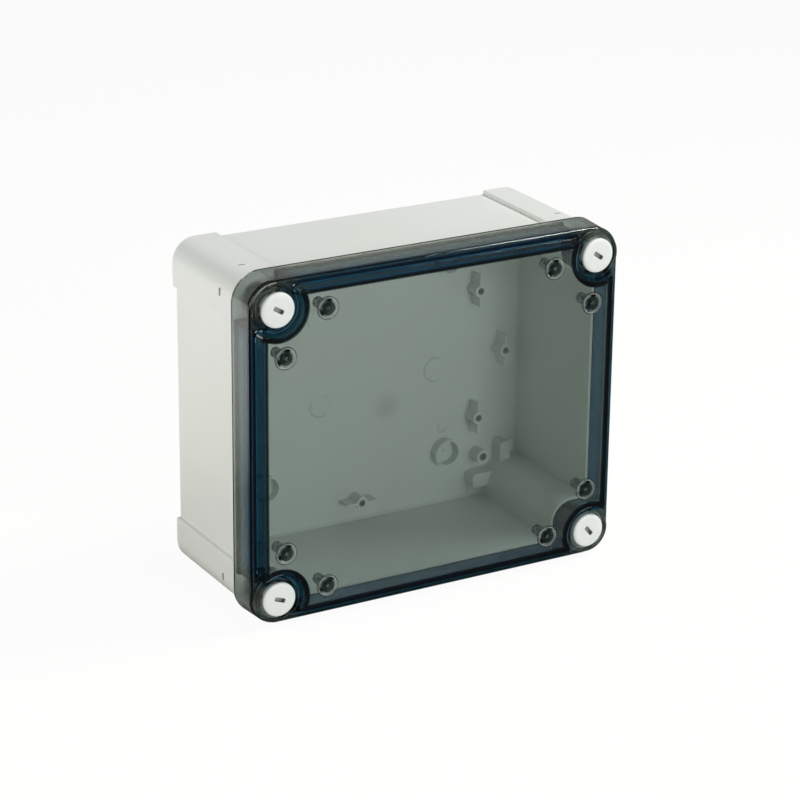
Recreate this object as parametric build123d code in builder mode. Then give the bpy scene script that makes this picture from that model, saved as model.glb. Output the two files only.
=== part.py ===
from build123d import *
import math
import os

os.makedirs("parts", exist_ok=True)

# The frame: X to the right, Y to the rear, Z up, origin at the centre of the rear face.
# Heights below are measured from the rear face towards the front, along -Y.

# Cover outline
cover_width = 341.0
cover_height = 291.0
cover_corner_r = 25.0
shoulder_height = 142.0
shoulder_draft = 1.5
shoulder_edge_r = 1.8
shoulder_t = 3.3
skirt_t = 3.0

# Window plateau of the cover
plateau_rise = 8.0
plateau_inset = 6.4
plateau_slope = 3.0
plateau_wall = 5.0
plateau_bevel = 0.7
plateau_bevel_taper = 55.0
notch_r = 19.0
notch_blend_r = 5.0
window_t = 3.0

# Cover bosses behind the window
window_boss_r = 4.7
window_boss_length = 16.0
window_boss_flare = 2.4
window_boss_taper = 55.0
window_pilot_r = 1.5
window_pilot_depth = 12.0
window_boss_centres = ((104.3, 117.6), (141.4, 82.2))

# Base shell
base_inset = 4.3
base_corner_r = 20.0
base_zone = 40.0
panel_recess = 3.5
step_edge_r = 1.0
rear_chamfer = 0.8
wall_t = 2.8
floor_t = 4.0
floor_chamfer = 2.0
joint_height = 113.5
rim_t = 2.8
rim_inset = 0.75

# Seal between base and cover
tongue_t = 2.2
tongue_height = 5.5
gasket_width = 3.6
gasket_t = 3.0
press_rib_t = 2.4
seal_clearance = 0.3
seam_clearance = 0.3

# Corner columns with their quarter-turn ledges
screw_inset = 23.8
column_r = 20.3
chamber_r = 12.5
ledge_height = 88.0
ledge_t = 4.0
key_r = 10.0
key_turn = 35.0
wall_fixing_r = 3.0
side_window_width = 6.5
end_window_width = 5.5
window_slot_t = 3.0

# Cover screws and their wells
well_r = 17.0
well_wall = 2.4
collar_rise = 4.0
well_floor_t = 3.3
head_r = 14.3
head_rise = 6.0
head_t = 3.0
head_bevel = 1.2
neck_r = 11.0
tool_slot_length = 9.6
tool_slot_width = 3.8
tool_slot_depth = 3.0
tool_slot_corner_r = 0.4
shank_r = 5.5
tip_length = 2.0
lug_r = 9.5
lug_width = 5.0
lug_t = 4.0
screw_clearance = 0.3

# Snap rings that keep the screws in the cover
ring_r = 8.2
ring_t = 1.6
ring_gap = 6.0
groove_depth = 0.8
groove_play = 0.1

# Fixing bosses on the floor inside
boss_height = 14.0
ribbed_boss_r = 5.4
ribbed_pilot_r = 3.1
plain_boss_r = 6.0
plain_pilot_r = 3.6
pilot_floor = 3.0
boss_rib_t = 2.0
boss_rib_span = 29.0
side_boss_centres = ((115.0, 58.0), (141.0, 0.0))
end_boss_centre = (0.0, 115.0)
plain_boss_centre = (120.5, 95.0)

# Cups and rests on the floor inside
cup_centre = (88.0, 87.5)
cup_r = 12.0
cup_wall = 1.5
cup_height = 8.5
rest_corner_r = 4.0
side_rest_width = 10.0
side_rest_offset = 3.7
side_rest_length = 17.0
end_rest_width = 12.5
end_rest_offset = 5.5
end_rest_length = 16.0
pad_t = 1.0
side_pad_width = 12.0
side_pad_offset = 27.7
end_pad_width = 12.5
end_pad_offset = 26.9

# Half sizes and levels that follow
cover_x = cover_width / 2
cover_z = cover_height / 2
base_x = cover_x - base_inset
base_z = cover_z - base_inset
inner_x = base_x - panel_recess - wall_t
inner_z = base_z - panel_recess - wall_t
screw_x = cover_x - screw_inset
screw_z = cover_z - screw_inset
front_height = shoulder_height + plateau_rise
head_front_height = shoulder_height + head_rise
shoulder_under = shoulder_height - shoulder_t
window_under = front_height - window_t
skirt_foot = joint_height + seam_clearance
rib_foot = joint_height + gasket_t + seal_clearance
well_floor = shoulder_under
well_under = well_floor - well_floor_t
head_under = well_floor + screw_clearance
lug_front = ledge_height - screw_clearance
lug_rear = lug_front - lug_t
tip_height = lug_rear - tip_length
ring_front = well_under - screw_clearance
groove_r = shank_r - groove_depth
rib_grow = tongue_t + seal_clearance
skirt_taper = math.degrees(math.atan(shoulder_draft / (shoulder_height - skirt_foot)))
slope_ratio = plateau_slope / plateau_rise
plateau_taper = math.degrees(math.atan(slope_ratio))
bevel_foot = front_height - plateau_bevel
bevel_shift = slope_ratio * (bevel_foot - shoulder_height)

screw_turns = {
    "top_left": (-screw_x, screw_z, 30.0),
    "top_right": (screw_x, screw_z, 35.0),
    "bottom_right": (screw_x, -screw_z, 50.0),
    "bottom_left": (-screw_x, -screw_z, 20.0),
}
screw_centres = [(x, z) for x, z, turn in screw_turns.values()]


def level(height):
    """Plane parallel to the rear face; drawn on it, x is X and y is Z, and extrusions go forward."""
    return Plane.XZ.offset(height)


def four_ways(centre):
    """A point in each quadrant, from the one in the top right quadrant."""
    x, z = centre
    return [(x, z), (-x, z), (-x, -z), (x, -z)]


def two_ways(centre):
    """A point on an axis and the one opposite it."""
    x, z = centre
    return [(x, z), (-x, -z)]


def room_outline(grow=0.0):
    """The room between the walls, without the four columns; grow moves its outline outwards."""
    half_x = inner_x + grow
    half_z = inner_z + grow
    arc_r = column_r - grow
    reach = screw_inset + arc_r
    Rectangle(2 * half_x, 2 * half_z)
    with Locations(*screw_centres):
        Circle(arc_r, mode=Mode.SUBTRACT)
    for x, z in screw_centres:
        out_x = math.copysign(1, x)
        out_z = math.copysign(1, z)
        with Locations((x + out_x * reach / 2, z + out_z * (reach / 2 - arc_r))):
            Rectangle(reach, reach, mode=Mode.SUBTRACT)
        with Locations((x + out_x * (reach / 2 - arc_r), z + out_z * reach / 2)):
            Rectangle(reach, reach, mode=Mode.SUBTRACT)


def plateau_outline(inset, arc_r, blend_r):
    """The window plateau: a rectangle inside the cover's outline with a concave notch at each screw."""
    half_x = cover_x - inset
    half_z = cover_z - inset
    with BuildSketch() as outline:
        Rectangle(2 * half_x, 2 * half_z)
        with Locations(*screw_centres):
            Circle(arc_r, mode=Mode.SUBTRACT)
        for x, z in screw_centres:
            with Locations((x + math.copysign(arc_r / 2, x), z + math.copysign(arc_r / 2, z))):
                Rectangle(arc_r, arc_r, mode=Mode.SUBTRACT)
        fillet(outline.vertices(), blend_r)
    return outline.sketch


def key_outline():
    """The keyed hole of a ledge: round, with two flats, turned clockwise from the horizontal."""
    with BuildSketch() as outline:
        Circle(key_r)
        Rectangle(2 * key_r, 2 * (shank_r + screw_clearance), rotation=-key_turn, mode=Mode.INTERSECT)
    return outline.sketch


def side_steps(half_x, half_z, zone, recess):
    """Cuts a rounded outline back by the recess between its corner zones."""
    with Locations(*two_ways((half_x, 0))):
        Rectangle(2 * recess, 2 * (half_z - zone), mode=Mode.SUBTRACT)
    with Locations(*two_ways((0, half_z))):
        Rectangle(2 * (half_x - zone), 2 * recess, mode=Mode.SUBTRACT)


# Base: outer shell with its set-back side panels
with BuildPart() as base:
    with BuildSketch(level(0)) as base_outline:
        RectangleRounded(2 * base_x, 2 * base_z, base_corner_r)
        side_steps(base_x, base_z, base_zone, panel_recess)
        step_corners = base_outline.vertices().filter_by(
            lambda v: math.isclose(abs(v.X), base_x - base_zone) or math.isclose(abs(v.Y), base_z - base_zone)
        )
        fillet(step_corners, step_edge_r)
    extrude(amount=joint_height)
    rear_edges = base.faces().sort_by(Axis.Y)[-1].edges()
    chamfer(rear_edges, rear_chamfer)

    # Rim flange that carries the cover, and the tongue inside the seal
    with BuildSketch(level(joint_height - rim_t)):
        RectangleRounded(2 * (cover_x - rim_inset), 2 * (cover_z - rim_inset), cover_corner_r - rim_inset)
    extrude(amount=rim_t)
    with BuildSketch(level(joint_height)):
        room_outline(tongue_t)
    extrude(amount=tongue_height)

    # Room inside, its foot bevelled
    with BuildSketch(level(floor_t)):
        room_outline()
    extrude(amount=joint_height + tongue_height - floor_t, mode=Mode.SUBTRACT)
    floor_faces = base.faces().filter_by(Axis.Y).filter_by_position(Axis.Y, -floor_t, -floor_t)
    chamfer(floor_faces.sort_by(SortBy.AREA)[-1].edges(), floor_chamfer)

    # Columns: a chamber on each side of the keyed ledge, and a wall-fixing hole behind it
    with BuildSketch(level(floor_t)):
        with Locations(*screw_centres):
            Circle(chamber_r)
    extrude(amount=ledge_height - floor_t, mode=Mode.SUBTRACT)
    with BuildSketch(level(ledge_height + ledge_t)):
        with Locations(*screw_centres):
            Circle(chamber_r)
    extrude(amount=joint_height - ledge_height - ledge_t, mode=Mode.SUBTRACT)
    with BuildSketch(level(ledge_height)):
        with Locations(*screw_centres):
            add(key_outline())
    extrude(amount=ledge_t, mode=Mode.SUBTRACT)
    with BuildSketch(level(0)):
        with Locations(*screw_centres):
            Circle(wall_fixing_r)
    extrude(amount=floor_t, mode=Mode.SUBTRACT)

    # Small windows from outside into each chamber, level with the lugs
    for x, z in screw_centres:
        with Locations((math.copysign(base_x, x), -(lug_rear + lug_front) / 2, z)):
            Box(2 * (base_x - screw_x), window_slot_t, side_window_width, mode=Mode.SUBTRACT)
        with Locations((x, -(lug_rear + lug_front) / 2, math.copysign(base_z, z))):
            Box(end_window_width, window_slot_t, 2 * (base_z - screw_z), mode=Mode.SUBTRACT)

    # Fixing bosses, ribbed and plain
    with BuildSketch(level(floor_t)):
        for centre in side_boss_centres:
            with Locations(*four_ways(centre)):
                Circle(ribbed_boss_r)
                Rectangle(boss_rib_t, boss_rib_span)
        with Locations(*two_ways(end_boss_centre)):
            Circle(ribbed_boss_r)
            Rectangle(boss_rib_span, boss_rib_t)
        with Locations(*four_ways(plain_boss_centre)):
            Circle(plain_boss_r)
    extrude(amount=boss_height)
    with BuildSketch(level(pilot_floor)):
        for centre in side_boss_centres:
            with Locations(*four_ways(centre)):
                Circle(ribbed_pilot_r)
        with Locations(*two_ways(end_boss_centre)):
            Circle(ribbed_pilot_r)
        with Locations(*four_ways(plain_boss_centre)):
            Circle(plain_pilot_r)
    extrude(amount=floor_t + boss_height - pilot_floor, mode=Mode.SUBTRACT)

    # Cups
    with BuildSketch(level(floor_t)):
        with Locations(*four_ways(cup_centre)):
            Circle(cup_r)
            Circle(cup_r - cup_wall, mode=Mode.SUBTRACT)
    extrude(amount=cup_height)

    # Rests beside each column, and the low pads that join them to the walls
    with BuildSketch(level(floor_t)):
        for x, z in screw_centres:
            out_x = math.copysign(1, x)
            out_z = math.copysign(1, z)
            side_rest_z = z - out_z * (column_r + side_rest_length / 2 - rest_corner_r)
            end_rest_x = x - out_x * (column_r + end_rest_length / 2 - rest_corner_r)
            with Locations((x - out_x * side_rest_offset, side_rest_z)):
                RectangleRounded(side_rest_width, side_rest_length + 2 * rest_corner_r, rest_corner_r)
            with Locations((end_rest_x, z - out_z * end_rest_offset)):
                RectangleRounded(end_rest_length + 2 * rest_corner_r, end_rest_width, rest_corner_r)
    extrude(amount=boss_height)
    with BuildSketch(level(floor_t)):
        for x, z in screw_centres:
            out_x = math.copysign(1, x)
            out_z = math.copysign(1, z)
            side_pad_length = inner_x - abs(x) + side_rest_offset
            end_pad_length = inner_z - abs(z) + end_rest_offset
            with Locations((out_x * (inner_x - side_pad_length / 2), z - out_z * side_pad_offset)):
                Rectangle(side_pad_length, side_pad_width)
            with Locations((x - out_x * end_pad_offset, out_z * (inner_z - end_pad_length / 2))):
                Rectangle(end_pad_width, end_pad_length)
    extrude(amount=pad_t)

base.part.label = "base"
export_step(base.part, "parts/base.step")

# Gasket: one closed loop on the rim, outside the tongue
with BuildPart() as gasket:
    with BuildSketch(level(joint_height)):
        room_outline(rib_grow + gasket_width)
    extrude(amount=gasket_t)
    with BuildSketch(level(joint_height)):
        room_outline(rib_grow)
    extrude(amount=gasket_t, mode=Mode.SUBTRACT)

gasket.part.label = "gasket"
export_step(gasket.part, "parts/gasket.step")

# Cover: drafted skirt and shoulder
with BuildPart() as cover:
    with BuildSketch(level(skirt_foot)):
        RectangleRounded(cover_width, cover_height, cover_corner_r)
    extrude(amount=shoulder_height - skirt_foot, taper=skirt_taper)
    shoulder_edges = cover.faces().sort_by(Axis.Y)[0].edges()
    fillet(shoulder_edges, shoulder_edge_r)

    # Window plateau with a concave notch at each screw, bevelled along its front edge
    with BuildSketch(level(shoulder_height)):
        add(plateau_outline(plateau_inset, notch_r, notch_blend_r))
    extrude(amount=bevel_foot - shoulder_height, taper=plateau_taper)
    with BuildSketch(level(bevel_foot)):
        add(plateau_outline(plateau_inset + bevel_shift, notch_r + bevel_shift, notch_blend_r - bevel_shift))
    extrude(amount=plateau_bevel, taper=plateau_bevel_taper)

    # Hollow inside the skirt, then behind the window
    with BuildSketch(level(skirt_foot)):
        RectangleRounded(cover_width - 2 * skirt_t, cover_height - 2 * skirt_t, cover_corner_r - skirt_t)
    extrude(amount=shoulder_under - skirt_foot, taper=skirt_taper, mode=Mode.SUBTRACT)
    under_shift = plateau_wall - slope_ratio * shoulder_t
    with BuildSketch(level(shoulder_under)):
        add(plateau_outline(plateau_inset + under_shift, notch_r + under_shift, notch_blend_r))
    extrude(amount=window_under - shoulder_under, taper=plateau_taper, mode=Mode.SUBTRACT)

    # Rib that presses on the gasket
    with BuildSketch(level(rib_foot)):
        room_outline(rib_grow + press_rib_t)
    extrude(amount=shoulder_under - rib_foot)
    with BuildSketch(level(rib_foot)):
        room_outline(rib_grow)
    extrude(amount=shoulder_under - rib_foot, mode=Mode.SUBTRACT)

    # Screw wells with their collars and keyed floors
    with BuildSketch(level(well_under)):
        with Locations(*screw_centres):
            Circle(well_r + well_wall)
    extrude(amount=shoulder_height + collar_rise - well_under)
    with BuildSketch(level(well_floor)):
        with Locations(*screw_centres):
            Circle(well_r)
    extrude(amount=front_height - well_floor, mode=Mode.SUBTRACT)
    with BuildSketch(level(well_under)):
        with Locations(*screw_centres):
            Circle(shank_r + screw_clearance)
            SlotOverall(2 * (lug_r + screw_clearance), lug_width + 2 * screw_clearance, rotation=key_turn)
    extrude(amount=well_floor_t, mode=Mode.SUBTRACT)

    # Bosses behind the window, flared at the root, with pilot holes
    with BuildSketch(level(window_under - window_boss_length)):
        for centre in window_boss_centres:
            with Locations(*four_ways(centre)):
                Circle(window_boss_r)
    extrude(amount=window_boss_length)
    with BuildSketch(level(window_under - window_boss_flare)):
        for centre in window_boss_centres:
            with Locations(*four_ways(centre)):
                Circle(window_boss_r)
    extrude(amount=window_boss_flare, taper=-window_boss_taper)
    with BuildSketch(level(window_under - window_boss_length)):
        for centre in window_boss_centres:
            with Locations(*four_ways(centre)):
                Circle(window_pilot_r)
    extrude(amount=window_pilot_depth, mode=Mode.SUBTRACT)

cover.part.label = "cover"
export_step(cover.part, "parts/cover.step")


def turned_level(x, z, turn, height):
    """Plane square to one screw, its x along the tool slot, turned clockwise seen from the front."""
    angle = math.radians(turn)
    return Plane(origin=(x, -height, z), x_dir=(math.cos(angle), 0, -math.sin(angle)), z_dir=(0, -1, 0))


def make_screw(x, z, turn):
    """Cover screw: slotted disc head on a neck, shank with a ring groove, and two locking lugs."""
    shank_section = Plane(origin=(x, 0, z), x_dir=(1, 0, 0), z_dir=(0, 0, 1))
    groove_front = ring_front + groove_play
    groove_rear = ring_front - ring_t - groove_play
    with BuildPart() as screw:
        with BuildSketch(shank_section):
            with BuildLine():
                Polyline(
                    (0, -head_front_height),
                    (0, -tip_height),
                    (shank_r, -tip_height),
                    (shank_r, -groove_rear),
                    (groove_r, -groove_rear),
                    (groove_r, -groove_front),
                    (shank_r, -groove_front),
                    (shank_r, -head_under),
                    (neck_r, -head_under),
                    (neck_r, -head_front_height + head_t),
                    (head_r, -head_front_height + head_t),
                    (head_r, -head_front_height + head_bevel),
                    (head_r - head_bevel, -head_front_height),
                    close=True,
                )
            make_face()
        revolve(axis=Axis((x, 0, z), (0, -1, 0)))
        with BuildSketch(turned_level(x, z, turn, head_front_height - tool_slot_depth)):
            RectangleRounded(tool_slot_length, tool_slot_width, tool_slot_corner_r)
        extrude(amount=tool_slot_depth, mode=Mode.SUBTRACT)
        with BuildSketch(turned_level(x, z, turn, lug_rear)):
            Circle(lug_r)
            Rectangle(2 * lug_r, lug_width, mode=Mode.INTERSECT)
        extrude(amount=lug_t)
    return screw.part


def make_ring(x, z, turn):
    """Open snap ring in the shank's groove, behind the floor of the well."""
    with BuildPart() as ring:
        with BuildSketch(turned_level(x, z, turn, ring_front - ring_t)):
            Circle(ring_r)
            Circle(groove_r, mode=Mode.SUBTRACT)
            with Locations((0, ring_r)):
                Rectangle(ring_gap, 2 * ring_r, mode=Mode.SUBTRACT)
        extrude(amount=ring_t)
    return ring.part


# Screws and rings, one pair at each corner
for corner, (x, z, turn) in screw_turns.items():
    screw_part = make_screw(x, z, turn)
    screw_part.label = "cover_screw_" + corner
    export_step(screw_part, "parts/" + screw_part.label + ".step")
    ring_part = make_ring(x, z, turn)
    ring_part.label = "retaining_ring_" + corner
    export_step(ring_part, "parts/" + ring_part.label + ".step")
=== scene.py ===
import math

import bpy
from mathutils import Matrix, Vector


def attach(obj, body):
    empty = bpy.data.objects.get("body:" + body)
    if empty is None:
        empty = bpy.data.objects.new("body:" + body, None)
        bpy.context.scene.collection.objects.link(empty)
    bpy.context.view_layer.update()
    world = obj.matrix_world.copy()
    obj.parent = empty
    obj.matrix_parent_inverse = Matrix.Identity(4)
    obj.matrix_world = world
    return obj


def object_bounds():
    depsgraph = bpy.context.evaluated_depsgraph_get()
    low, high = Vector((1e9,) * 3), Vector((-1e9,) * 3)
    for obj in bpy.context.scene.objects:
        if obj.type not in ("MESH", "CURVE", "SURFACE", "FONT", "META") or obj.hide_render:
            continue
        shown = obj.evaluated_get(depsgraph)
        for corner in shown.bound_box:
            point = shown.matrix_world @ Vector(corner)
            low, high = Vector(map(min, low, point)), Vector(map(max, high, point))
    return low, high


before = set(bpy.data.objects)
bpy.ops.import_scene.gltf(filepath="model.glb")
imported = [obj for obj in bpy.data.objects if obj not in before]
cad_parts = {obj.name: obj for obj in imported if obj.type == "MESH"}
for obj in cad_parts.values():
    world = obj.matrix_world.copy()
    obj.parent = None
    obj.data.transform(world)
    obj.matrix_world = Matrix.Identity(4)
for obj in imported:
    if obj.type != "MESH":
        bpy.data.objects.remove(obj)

cad_low, cad_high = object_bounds()

# Colours, linear
BASE_GREY = (0.75, 0.78, 0.755)
BASE_GREY_WARM = (0.74, 0.755, 0.71)
MARK_SHADE = (0.55, 0.57, 0.54)
SMUDGE_SHADE = (0.66, 0.64, 0.61)
SCREW_WHITE = (0.65, 0.68, 0.67)
# Painted shade, laid into the screws' crevices
PAINTED_CREVICE_SHADE = (0.05, 0.05, 0.05)
SEAL_DARK = (0.012, 0.013, 0.014)
STEEL = (0.55, 0.55, 0.54)
SMOKE = (0.44, 0.54, 0.52)
SMOKE_SHADOW = (0.99, 0.99, 0.99)
WINDOW_TINT = (0.68, 0.71, 0.70)
# Painted shade: the rim, slope and corner tints and the skirt's corner tint
RIM_PAINTED_SHADE = (0.10, 0.16, 0.18)
SLOPE_PAINTED_SHADE = (0.13, 0.36, 0.52)
CORNER_PAINTED_SHADE = (0.58, 0.58, 0.56)
SKIRT_TINT = (1.0, 1.0, 0.93)
SKIRT_CORNER_PAINTED_SHADE = (0.76, 0.77, 0.75)
# Painted shade and highlight in front of the bosses: the two boss tints are painted shade, the halo is a
# painted highlight
BOSS_PAINTED_SHADE = (0.12, 0.15, 0.15)
BOSS_LINE_PAINTED_SHADE = (0.15, 0.17, 0.17)
BOSS_PAINTED_HIGHLIGHT = (0.8, 0.84, 0.82)
HOLLOW_MIRROR = (0.30, 0.35, 0.37)
WHITE = (1.0, 1.0, 1.0)
FLOOR_PALE = (0.90, 0.88, 0.80)
FLOOR_DEEP = (0.035, 0.035, 0.035)

# Noise: the span of its values that ramps use, and its cells per metre
NOISE_SPAN = (0.3, 0.7)
GREY_TONE_CELLS = 9.0
GREY_GRAIN_CELLS = 2600.0
MARK_PATCH_CELLS = 90.0
CLEAR_SWIRL_CELLS = 14.0
SCREW_TONE_CELLS = 120.0
SCREW_GRAIN_CELLS = 3200.0
SEAL_PORE_CELLS = 1800.0
STEEL_TONE_CELLS = 900.0

# How much darker or lighter the other tone of a colour is
SCREW_SHADE = 0.965
SEAL_SHADE = 2.2
STEEL_SHADE = 0.8

# Roughness, from and to, and bumps as strength and height in metres
GREY_ROUGHNESS = (0.30, 0.40)
GREY_BUMP = (0.12, 0.00012)
CLEAR_ROUGHNESS = (0.004, 0.012)
SKIRT_MATT = 0.22
SCREW_ROUGHNESS = (0.32, 0.44)
SCREW_BUMP = (0.08, 0.0001)
SEAL_ROUGHNESS = 0.85
SEAL_BUMP = (0.5, 0.0003)
STEEL_ROUGHNESS = (0.25, 0.4)
FLOOR_ROUGHNESS = 0.9

# Other optical values; the crevice's reach is in metres
GREY_IOR = 1.5
CLEAR_IOR = 1.58
SMOKE_DENSITY = 120.0
HALO_SHARE = 0.2
CREVICE_REACH = 0.004
CREVICE_SAMPLES = 8
CREVICE_POWER = 1.6

# The cover's hollow, in metres: its half sizes, the screw centres and the notch round each
HOLLOW_X = 0.1572
HOLLOW_Z = 0.1322
ROUND_X = 0.1455
ROUND_Z = 0.1205
SCREW_X = 0.1467
SCREW_Z = 0.1217
NOTCH_R = 0.0259
HEAD_FRONT = -0.148
SHOULDER_BACK = -0.1385
WINDOW_FRONT = -0.1465
BOSS_CENTRES = ((0.1043, 0.1176), (0.1414, 0.0822))

# Where one tint of the cover gives way to the next, in metres: the start and the end of each change
FRONT_STEP = (WINDOW_FRONT + 0.0004, WINDOW_FRONT)
REAR_STEP = (SHOULDER_BACK, SHOULDER_BACK + 0.001)
RIM_STEP = (-0.0008, -0.0002)
LIP_END = (0.0002, 0.0008)
SLOPE_STEP = (0.0024, 0.0034)
NOTCH_STEP = (0.0066, 0.0084)
ROUND_STEP = (0.012, 0.016)
SKIRT_STEP = (0.0209, 0.0214)
CORNER_STEP_X = (0.116, 0.142)
CORNER_STEP_Z = (0.091, 0.117)

# Bands round each boss, in metres from its axis: the inner change and the outer change
BOSS_RING = ((0.0013, 0.0021), (0.0056, 0.0062))
BOSS_HALO_BAND = ((0.0076, 0.0080), (0.0084, 0.0088))
BOSS_LINE = ((0.0086, 0.0090), (0.0092, 0.0096))

# Marks on the base's floor, in metres; the witness rings are given as x, z and radius
FLOOR_FRONT = -0.004
FLOOR_BAND = ((FLOOR_FRONT - 0.0006, FLOOR_FRONT - 0.0002), (FLOOR_FRONT + 0.0002, FLOOR_FRONT + 0.0006))
CUP_CENTRE = (0.088, 0.0875)
CUP_DOT_STEP = (0.0016, 0.0010)
GATE = (0.0312, -0.0365)
GATE_STEP = (0.017, 0.002)
WITNESS_RINGS = (
    (0.0783, -0.0110, 0.0105),
    (0.0299, -0.1083, 0.0080),
    (0.0863, -0.0659, 0.0042),
    (-0.0358, 0.0530, 0.0095),
    (-0.0338, -0.0249, 0.0095),
)
RING_LINE_STEP = (0.0011, 0.0004)
MARK_PATCH_STEP = (0.38, 0.58)

# Screws: the side each stands at in x and z, and its slot's turn in degrees
SCREW_TURNS = {
    "top_left": (-1, 1, 30.0),
    "top_right": (1, 1, 35.0),
    "bottom_right": (1, -1, 50.0),
    "bottom_left": (-1, -1, 20.0),
}

# The crown on each screw head, in metres; depths count from HEAD_FRONT to the rear
CROWN_POINTS = 96
CROWN_SHARES = (0.2, 0.4, 0.6, 0.8, 1.0)
SLOT_HALF_X = 0.0047
SLOT_HALF_Z = 0.0018
SLOT_SQUARENESS = 8.0
# The slot's wall and rolled lip: the depth of each ring and how far it grows from the slot's outline
SLOT_LIP = ((0.0028, 0.0), (0.0, 0.0), (-0.0003, 0.00012), (-0.0004, 0.0004))
CROWN_FACE_R = 0.0115
CROWN_FACE_FALL = 0.0001
CROWN_EDGE_REACH = 0.00286
CROWN_EDGE_DROP = 0.0016
CROWN_SIDE_DEPTH = 0.0029

# Floor, in metres, world and lamps; a lamp has a name, a place, a size in metres and its watts
FLOOR_SIZE = 12.0
FLOOR_MIRRORED_Y = (0.1, 0.4)
FLOOR_GLOW_SHARE = 0.93
WORLD_LEVEL = 0.3
WORLD_MIRRORED = 0.16
LAMPS = (
    ("front_lamp", (0.4, -2.6, 0.42), 1.2, 36.0),
    ("left_lamp", (-1.3, 0.15, 0.5), 0.7, 7.2),
    ("top_lamp", (1.15, -0.35, 1.5), 0.6, 28.0),
)

# Camera: place and axes found from the photograph, in metres
CAMERA_PLACE = Vector((-1.12295, -2.02420, 0.84707))
CAMERA_RIGHT = Vector((0.86765, -0.49707, 0.01036))
CAMERA_UP = Vector((0.16711, 0.31119, 0.93554))
CAMERA_AHEAD = Vector((0.46826, 0.80999, -0.35307))
CAMERA_LENS_MM = 131.03
CAMERA_SENSOR_MM = 36.0
CAMERA_CLIP = (0.01, 50.0)


def node_material(name):
    """A new node material: its tree, its shader and its output."""
    material = bpy.data.materials.new(name)
    material.use_nodes = True
    tree = material.node_tree
    return material, tree, tree.nodes["Principled BSDF"], tree.nodes["Material Output"]


def add_node(tree, kind, **values):
    """A node of that kind; a value named after a socket sets the socket, any other the node."""
    node = tree.nodes.new(kind)
    for key, value in values.items():
        if key in node.inputs:
            node.inputs[key].default_value = value
        else:
            setattr(node, key, value)
    return node


def object_parts(tree):
    """X, Y and Z in the object's own coordinates."""
    place = add_node(tree, "ShaderNodeTexCoord")
    parts = add_node(tree, "ShaderNodeSeparateXYZ")
    tree.links.new(place.outputs["Object"], parts.inputs["Vector"])
    return parts.outputs["X"], parts.outputs["Y"], parts.outputs["Z"]


def object_noise(tree, cells, detail=3.0, roughness=0.5):
    """Noise in the object's own coordinates, with so many cells per metre."""
    place = add_node(tree, "ShaderNodeTexCoord")
    noise = add_node(tree, "ShaderNodeTexNoise", Scale=cells, Detail=detail, Roughness=roughness)
    tree.links.new(place.outputs["Object"], noise.inputs["Vector"])
    return noise.outputs["Fac"]


def maths(tree, operation, *values):
    """A math node; a value is a number or another node's output."""
    node = add_node(tree, "ShaderNodeMath", operation=operation)
    for index, value in enumerate(values):
        if isinstance(value, (int, float)):
            node.inputs[index].default_value = value
        else:
            tree.links.new(value, node.inputs[index])
    return node.outputs["Value"]


def product(tree, first, *others):
    """The product of a value and one or more others, taken in order."""
    for other in others:
        first = maths(tree, "MULTIPLY", first, other)
    return first


def reach_from(tree, along, up, x, z):
    """Distance in metres of the point along, up from an axis that stands at x, z."""
    from_x = maths(tree, "SUBTRACT", along, x)
    from_z = maths(tree, "SUBTRACT", up, z)
    squares = maths(tree, "ADD", product(tree, from_x, from_x), product(tree, from_z, from_z))
    return maths(tree, "SQRT", squares)


def step_over(tree, value, start, end):
    """A smooth step from 0 at start to 1 at end; start may be the larger."""
    step = add_node(tree, "ShaderNodeMapRange", interpolation_type="SMOOTHSTEP")
    step.inputs["From Min"].default_value = start
    step.inputs["From Max"].default_value = end
    tree.links.new(value, step.inputs["Value"])
    return step.outputs["Result"]


def band_over(tree, value, rise, fall):
    """A smooth rise to 1 over the first span and a smooth fall back to 0 over the second."""
    return product(tree, step_over(tree, value, *rise), step_over(tree, value, fall[1], fall[0]))


def blend(tree, share, first, second):
    """The first colour where share is 0 and the second where it is 1; a colour is a triple or an output."""
    mix = add_node(tree, "ShaderNodeMix", data_type="RGBA")
    for socket, colour in ((mix.inputs["A"], first), (mix.inputs["B"], second)):
        if isinstance(colour, tuple):
            socket.default_value = (*colour, 1.0)
        else:
            tree.links.new(colour, socket)
    tree.links.new(share, mix.inputs["Factor"])
    return mix.outputs["Result"]


def mix_shaders(tree, share, first, second):
    """The first shader where share is 0 and the second where it is 1."""
    mix = add_node(tree, "ShaderNodeMixShader")
    tree.links.new(share, mix.inputs["Fac"])
    tree.links.new(first, mix.inputs[1])
    tree.links.new(second, mix.inputs[2])
    return mix.outputs["Shader"]


def ramp_between(tree, source, low, high):
    """A colour ramp from low to high driven by an output."""
    ramp = add_node(tree, "ShaderNodeValToRGB")
    for stop, position, colour in zip(ramp.color_ramp.elements, NOISE_SPAN, (low, high)):
        stop.position = position
        stop.color = (*colour, 1.0)
    tree.links.new(source, ramp.inputs["Fac"])
    return ramp.outputs["Color"]


def rough_between(tree, source, low, high):
    """Maps an output to a range of roughness."""
    span = add_node(tree, "ShaderNodeMapRange")
    span.inputs["From Min"].default_value = NOISE_SPAN[0]
    span.inputs["From Max"].default_value = NOISE_SPAN[1]
    span.inputs["To Min"].default_value = low
    span.inputs["To Max"].default_value = high
    tree.links.new(source, span.inputs["Value"])
    return span.outputs["Result"]


def add_bump(tree, shader, source, strength, distance):
    """Raises the surface by an output, its distance in metres."""
    bump = add_node(tree, "ShaderNodeBump", Strength=strength, Distance=distance)
    tree.links.new(source, bump.inputs["Height"])
    tree.links.new(bump.outputs["Normal"], shader.inputs["Normal"])


def other_tone(colour, share):
    """A colour with each channel multiplied by a share."""
    return tuple(channel * share for channel in colour)


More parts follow.
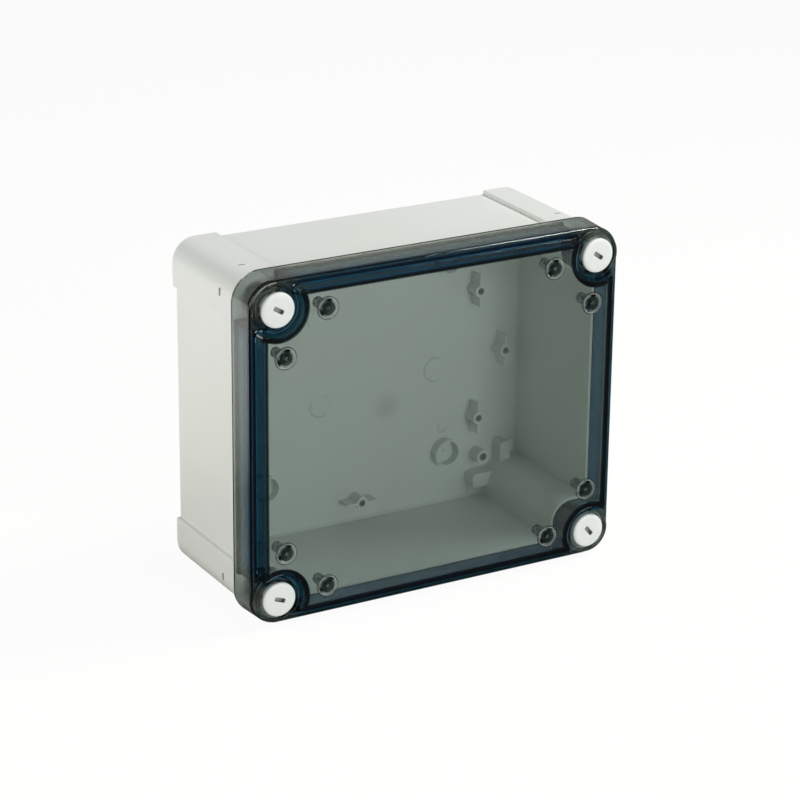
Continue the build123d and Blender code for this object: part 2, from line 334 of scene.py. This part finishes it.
def moulded_grey():
    """Light grey moulded plastic with a fine skin, slow changes of tone and marks on the floor inside."""
    material, tree, shader, output = node_material("moulded_grey")
    colour = ramp_between(tree, object_noise(tree, GREY_TONE_CELLS), BASE_GREY_WARM, BASE_GREY)
    # A dot in each cup, faint rings and the gate's smudge
    x, y, z = object_parts(tree)
    level = band_over(tree, y, *FLOOR_BAND)
    along = maths(tree, "ABSOLUTE", x)
    up = maths(tree, "ABSOLUTE", z)
    marks = step_over(tree, reach_from(tree, along, up, *CUP_CENTRE), *CUP_DOT_STEP)
    for centre_x, centre_z, radius in WITNESS_RINGS:
        off = maths(tree, "SUBTRACT", reach_from(tree, x, z, centre_x, centre_z), radius)
        ring = step_over(tree, maths(tree, "ABSOLUTE", off), *RING_LINE_STEP)
        marks = maths(tree, "MAXIMUM", marks, ring)
    patchy = step_over(tree, object_noise(tree, MARK_PATCH_CELLS, 1.0), *MARK_PATCH_STEP)
    gate = step_over(tree, reach_from(tree, x, z, *GATE), *GATE_STEP)
    smudged = blend(tree, product(tree, gate, level), colour, SMUDGE_SHADE)
    marked = blend(tree, product(tree, marks, level, patchy), smudged, MARK_SHADE)
    tree.links.new(marked, shader.inputs["Base Color"])
    grain = object_noise(tree, GREY_GRAIN_CELLS, 2.0, 0.6)
    tree.links.new(rough_between(tree, grain, *GREY_ROUGHNESS), shader.inputs["Roughness"])
    add_bump(tree, shader, grain, *GREY_BUMP)
    shader.inputs["IOR"].default_value = GREY_IOR
    return material


def cover_places(tree):
    """Values that tell where a point of the cover lies, by name; distances are in metres, the rest shares."""
    x, y, z = object_parts(tree)
    along = maths(tree, "ABSOLUTE", x)
    up = maths(tree, "ABSOLUTE", z)
    # How far a point lies outside the hollow behind the window, at its sides or in the notches
    beside = maths(tree, "SUBTRACT", along, HOLLOW_X)
    above = maths(tree, "SUBTRACT", up, HOLLOW_Z)
    side = maths(tree, "MAXIMUM", beside, above)
    notch = maths(tree, "SUBTRACT", NOTCH_R, reach_from(tree, along, up, SCREW_X, SCREW_Z))
    # How far it lies from the centres of the rounded corners, or from the lines between them
    past_x = maths(tree, "MAXIMUM", along, ROUND_X)
    past_z = maths(tree, "MAXIMUM", up, ROUND_Z)
    edge = reach_from(tree, past_x, past_z, ROUND_X, ROUND_Z)
    rear = step_over(tree, y, *REAR_STEP)
    return {
        "outside": maths(tree, "MAXIMUM", side, notch),
        "notch": notch,
        "edge": edge,
        "boss": maths(tree, "MINIMUM", *[reach_from(tree, along, up, *centre) for centre in BOSS_CENTRES]),
        "front": step_over(tree, y, *FRONT_STEP),
        "corner": product(tree, step_over(tree, along, *CORNER_STEP_X), step_over(tree, up, *CORNER_STEP_Z)),
        "skirt": product(tree, step_over(tree, edge, *SKIRT_STEP), rear),
    }


def cover_tint_and_painted_shade(tree, places):
    """The tint of the light that passes: the smoke's tint in the window and skirt, painted shade at the
    window's rim and slope and in the corners of shoulder and skirt, and painted shade in front of the bosses.
    """
    # Painted shade: a dark ring and a thin dark line on the window in front of each boss
    ring = product(tree, band_over(tree, places["boss"], *BOSS_RING), places["front"])
    line = product(tree, band_over(tree, places["boss"], *BOSS_LINE), places["front"])
    window = blend(tree, line, blend(tree, ring, WINDOW_TINT, BOSS_PAINTED_SHADE), BOSS_LINE_PAINTED_SHADE)
    # Painted shade: dark at the hollow's rim, dark blue on the slope and darker in the corners of shoulder
    # and skirt
    rim = blend(tree, step_over(tree, places["outside"], *RIM_STEP), window, RIM_PAINTED_SHADE)
    slope = blend(tree, step_over(tree, places["outside"], *SLOPE_STEP), rim, SLOPE_PAINTED_SHADE)
    near_screw = step_over(tree, places["notch"], *NOTCH_STEP)
    around = maths(tree, "MAXIMUM", near_screw, step_over(tree, places["edge"], *ROUND_STEP))
    shoulder = blend(tree, product(tree, places["corner"], around), slope, CORNER_PAINTED_SHADE)
    skirt = blend(tree, places["corner"], SKIRT_TINT, SKIRT_CORNER_PAINTED_SHADE)
    return blend(tree, places["skirt"], shoulder, skirt)


def smoked_clear():
    """Clear smoked plastic, with painted shade tinting the light that passes in front of the walls behind the
    window's edge, in shoulder and skirt.
    """
    material, tree, shader, output = node_material("smoked_clear")
    tree.nodes.remove(shader)
    rough = rough_between(tree, object_noise(tree, CLEAR_SWIRL_CELLS, 2.0), *CLEAR_ROUGHNESS)
    places = cover_places(tree)
    # Light that passes, scattered in the skirt
    through = add_node(tree, "ShaderNodeBsdfRefraction", IOR=CLEAR_IOR)
    tree.links.new(cover_tint_and_painted_shade(tree, places), through.inputs["Color"])
    matt = product(tree, places["skirt"], SKIRT_MATT)
    tree.links.new(maths(tree, "ADD", rough, matt), through.inputs["Roughness"])
    # Light that is mirrored, weaker at the hollow's lip
    lip = band_over(tree, places["outside"], RIM_STEP, LIP_END)
    lip = product(tree, lip, maths(tree, "SUBTRACT", 1.0, places["front"]))
    gloss = add_node(tree, "ShaderNodeBsdfGlossy")
    tree.links.new(blend(tree, lip, WHITE, HOLLOW_MIRROR), gloss.inputs["Color"])
    tree.links.new(rough, gloss.inputs["Roughness"])
    fresnel = add_node(tree, "ShaderNodeFresnel", IOR=CLEAR_IOR)
    glass = mix_shaders(tree, fresnel.outputs["Fac"], through.outputs["BSDF"], gloss.outputs["BSDF"])
    # A painted highlight: a pale diffuse halo round each boss
    painted_highlight = add_node(tree, "ShaderNodeBsdfDiffuse", Color=(*BOSS_PAINTED_HIGHLIGHT, 1.0))
    halo = product(tree, band_over(tree, places["boss"], *BOSS_HALO_BAND), places["front"], HALO_SHARE)
    haloed = mix_shaders(tree, halo, glass, painted_highlight.outputs["BSDF"])
    # Shadow and diffuse rays pass straight through
    clear = add_node(tree, "ShaderNodeBsdfTransparent", Color=(*SMOKE_SHADOW, 1.0))
    path = add_node(tree, "ShaderNodeLightPath")
    spread = maths(tree, "MAXIMUM", path.outputs["Is Shadow Ray"], path.outputs["Is Diffuse Ray"])
    tree.links.new(mix_shaders(tree, spread, haloed, clear.outputs["BSDF"]), output.inputs["Surface"])
    smoke = add_node(tree, "ShaderNodeVolumeAbsorption", Color=(*SMOKE, 1.0), Density=SMOKE_DENSITY)
    tree.links.new(smoke.outputs["Volume"], output.inputs["Volume"])
    return material


def satin_white():
    """White satin plastic of the screws, with slight changes of tone and painted shade darkening its
    crevices.
    """
    material, tree, shader, output = node_material("satin_white")
    tone = object_noise(tree, SCREW_TONE_CELLS)
    colour = ramp_between(tree, tone, other_tone(SCREW_WHITE, SCREW_SHADE), SCREW_WHITE)
    crevice = add_node(
        tree, "ShaderNodeAmbientOcclusion", Distance=CREVICE_REACH, samples=CREVICE_SAMPLES
    )
    tree.links.new(colour, crevice.inputs["Color"])
    # Painted shade: occlusion darkens the colour in the slot and the other crevices
    depth = maths(tree, "POWER", crevice.outputs["AO"], CREVICE_POWER)
    tree.links.new(blend(tree, depth, PAINTED_CREVICE_SHADE, colour), shader.inputs["Base Color"])
    grain = object_noise(tree, SCREW_GRAIN_CELLS, 2.0)
    tree.links.new(rough_between(tree, grain, *SCREW_ROUGHNESS), shader.inputs["Roughness"])
    add_bump(tree, shader, grain, *SCREW_BUMP)
    return material


def foam_seal():
    """Dark foamed seal with fine pores."""
    material, tree, shader, output = node_material("foam_seal")
    place = add_node(tree, "ShaderNodeTexCoord")
    pores = add_node(tree, "ShaderNodeTexVoronoi", Scale=SEAL_PORE_CELLS)
    tree.links.new(place.outputs["Object"], pores.inputs["Vector"])
    colour = ramp_between(tree, pores.outputs["Distance"], SEAL_DARK, other_tone(SEAL_DARK, SEAL_SHADE))
    tree.links.new(colour, shader.inputs["Base Color"])
    shader.inputs["Roughness"].default_value = SEAL_ROUGHNESS
    add_bump(tree, shader, pores.outputs["Distance"], *SEAL_BUMP)
    return material


def spring_steel():
    """Steel of the snap rings, with fine changes of tone and gloss."""
    material, tree, shader, output = node_material("spring_steel")
    tone = object_noise(tree, STEEL_TONE_CELLS, 4.0)
    colour = ramp_between(tree, tone, other_tone(STEEL, STEEL_SHADE), STEEL)
    tree.links.new(colour, shader.inputs["Base Color"])
    tree.links.new(rough_between(tree, tone, *STEEL_ROUGHNESS), shader.inputs["Roughness"])
    shader.inputs["Metallic"].default_value = 1.0
    return material


def kind_of(name):
    """A node's name without the corner that it stands at."""
    for corner in SCREW_TURNS:
        name = name.removesuffix("_" + corner)
    return name


def dress(piece, material):
    """Gives a CAD node its material on every slot."""
    if not piece.material_slots:
        piece.data.materials.append(material)
    for slot in piece.material_slots:
        slot.material = material


materials = {
    "base": moulded_grey(),
    "gasket": foam_seal(),
    "cover": smoked_clear(),
    "cover_screw": satin_white(),
    "retaining_ring": spring_steel(),
}
for node_name, node_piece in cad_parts.items():
    dress(node_piece, materials[kind_of(node_name)])


def slot_outline(turn):
    """Points of a slot's rounded rectangle, turned clockwise seen from the front, evenly spread by angle."""
    lean = math.radians(turn)
    points = []
    for step in range(CROWN_POINTS):
        angle = 2 * math.pi * step / CROWN_POINTS
        share_x = abs(math.cos(angle)) / SLOT_HALF_X
        share_z = abs(math.sin(angle)) / SLOT_HALF_Z
        reach = (share_x**SLOT_SQUARENESS + share_z**SLOT_SQUARENESS) ** (-1 / SLOT_SQUARENESS)
        x = math.cos(angle) * reach
        z = math.sin(angle) * reach
        points.append((x * math.cos(lean) + z * math.sin(lean), -x * math.sin(lean) + z * math.cos(lean)))
    return points


def crown_rings(turn):
    """Rings of x, depth and z: up the slot's wall, over its lip and the face, round the edge to the side."""
    outline = slot_outline(turn)
    slot_reaches = [math.hypot(x, z) for x, z in outline]

    def ring_at(depth, reaches):
        """The outline's points moved along their own directions to new distances from the axis."""
        ring = []
        for (x, z), slot_reach, reach in zip(outline, slot_reaches, reaches):
            ring.append((x / slot_reach * reach, depth, z / slot_reach * reach))
        return ring

    rings = []
    for depth, grow in SLOT_LIP:
        rings.append(ring_at(depth, [reach + grow for reach in slot_reaches]))
    lip_depth, lip_grow = SLOT_LIP[-1]
    lip_reaches = [reach + lip_grow for reach in slot_reaches]
    for share in CROWN_SHARES:
        face_reaches = [reach + (CROWN_FACE_R - reach) * share for reach in lip_reaches]
        rings.append(ring_at(lip_depth + CROWN_FACE_FALL * share**2, face_reaches))
    for share in CROWN_SHARES:
        angle = share * math.pi / 2
        reach = CROWN_FACE_R + CROWN_EDGE_REACH * math.sin(angle)
        depth = lip_depth + CROWN_FACE_FALL + CROWN_EDGE_DROP * (1 - math.cos(angle))
        rings.append(ring_at(depth, [reach] * CROWN_POINTS))
    rings.append([(x, CROWN_SIDE_DEPTH, z) for x, depth, z in rings[-1]])
    return rings


def screw_crown(corner, side_x, side_z, turn):
    """The finely rounded front of a screw head, with the rolled edge of its slot."""
    rings = crown_rings(turn)
    vertices = []
    for ring in rings:
        for x, depth, z in ring:
            vertices.append((side_x * SCREW_X + x, HEAD_FRONT + depth, side_z * SCREW_Z + z))
    faces = []
    for row in range(len(rings) - 1):
        here = row * CROWN_POINTS
        there = here + CROWN_POINTS
        for step in range(CROWN_POINTS):
            after = (step + 1) % CROWN_POINTS
            faces.append((here + step, here + after, there + after, there + step))
    mesh = bpy.data.meshes.new("screw_crown_" + corner)
    mesh.from_pydata(vertices, [], faces)
    mesh.materials.append(materials["cover_screw"])
    for polygon in mesh.polygons:
        polygon.use_smooth = True
    crown = bpy.data.objects.new("screw_crown_" + corner, mesh)
    bpy.context.scene.collection.objects.link(crown)
    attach(crown, "screw_body_" + corner)


for corner, (side_x, side_z, turn) in SCREW_TURNS.items():
    screw_crown(corner, side_x, side_z, turn)


def pale_floor(height):
    """A large pale floor with a soft shadow, whose part in front of the object is dark in reflections."""
    bpy.ops.mesh.primitive_plane_add(size=FLOOR_SIZE, location=(0, 0, height))
    floor = bpy.context.object
    floor.name = "floor"
    material, tree, shader, output = node_material("floor_pale")
    shader.inputs["Roughness"].default_value = FLOOR_ROUGHNESS
    x, y, z = object_parts(tree)
    behind = add_node(tree, "ShaderNodeMapRange")
    behind.inputs["From Min"].default_value = FLOOR_MIRRORED_Y[0]
    behind.inputs["From Max"].default_value = FLOOR_MIRRORED_Y[1]
    tree.links.new(y, behind.inputs["Value"])
    path = add_node(tree, "ShaderNodeLightPath")
    seen = maths(tree, "MAXIMUM", path.outputs["Is Camera Ray"], path.outputs["Is Transmission Ray"])
    mirrored = product(tree, path.outputs["Is Glossy Ray"], behind.outputs["Result"])
    dark = maths(tree, "SUBTRACT", path.outputs["Is Glossy Ray"], mirrored)
    tree.links.new(blend(tree, dark, FLOOR_PALE, FLOOR_DEEP), shader.inputs["Base Color"])
    glow = add_node(tree, "ShaderNodeEmission", Color=(*WHITE, 1.0), Strength=1.0)
    share = product(tree, maths(tree, "MAXIMUM", seen, mirrored), FLOOR_GLOW_SHARE)
    lit = mix_shaders(tree, share, shader.outputs["BSDF"], glow.outputs["Emission"])
    tree.links.new(lit, output.inputs["Surface"])
    floor.data.materials.append(material)


def studio_world():
    """White to the camera and through clear plastic, deeper in reflections, soft grey light for all else."""
    world = bpy.data.worlds.new("studio")
    bpy.context.scene.world = world
    world.use_nodes = True
    tree = world.node_tree
    sky = tree.nodes["Background"]
    sky.inputs["Color"].default_value = (*WHITE, 1.0)
    path = add_node(tree, "ShaderNodeLightPath")
    seen = maths(tree, "MAXIMUM", path.outputs["Is Camera Ray"], path.outputs["Is Transmission Ray"])
    soft = add_node(tree, "ShaderNodeMapRange")
    soft.inputs["To Min"].default_value = WORLD_LEVEL
    soft.inputs["To Max"].default_value = WORLD_MIRRORED
    tree.links.new(path.outputs["Is Glossy Ray"], soft.inputs["Value"])
    level = add_node(tree, "ShaderNodeMapRange")
    level.inputs["To Max"].default_value = 1.0
    tree.links.new(seen, level.inputs["Value"])
    tree.links.new(soft.outputs["Result"], level.inputs["To Min"])
    tree.links.new(level.outputs["Result"], sky.inputs["Strength"])


def add_lamp(name, place, size, watts):
    """A square area lamp that faces the object."""
    lamp = bpy.data.lights.new(name, "AREA")
    lamp.shape = "SQUARE"
    lamp.size = size
    lamp.energy = watts
    holder = bpy.data.objects.new(name, lamp)
    holder.location = place
    holder.rotation_mode = "QUATERNION"
    holder.rotation_quaternion = (-Vector(place)).to_track_quat("-Z", "Y")
    bpy.context.scene.collection.objects.link(holder)


def add_camera():
    """The camera at the photograph's viewing angle."""
    lens = bpy.data.cameras.new("camera")
    lens.lens = CAMERA_LENS_MM
    lens.sensor_width = CAMERA_SENSOR_MM
    lens.clip_start, lens.clip_end = CAMERA_CLIP
    camera = bpy.data.objects.new("camera", lens)
    turn = Matrix((CAMERA_RIGHT, CAMERA_UP, -CAMERA_AHEAD)).transposed().to_4x4()
    camera.matrix_world = Matrix.Translation(CAMERA_PLACE) @ turn
    bpy.context.scene.collection.objects.link(camera)
    bpy.context.scene.camera = camera


pale_floor(cad_low.z)
studio_world()
for lamp in LAMPS:
    add_lamp(*lamp)
add_camera()
bpy.context.scene.view_settings.view_transform = "Standard"
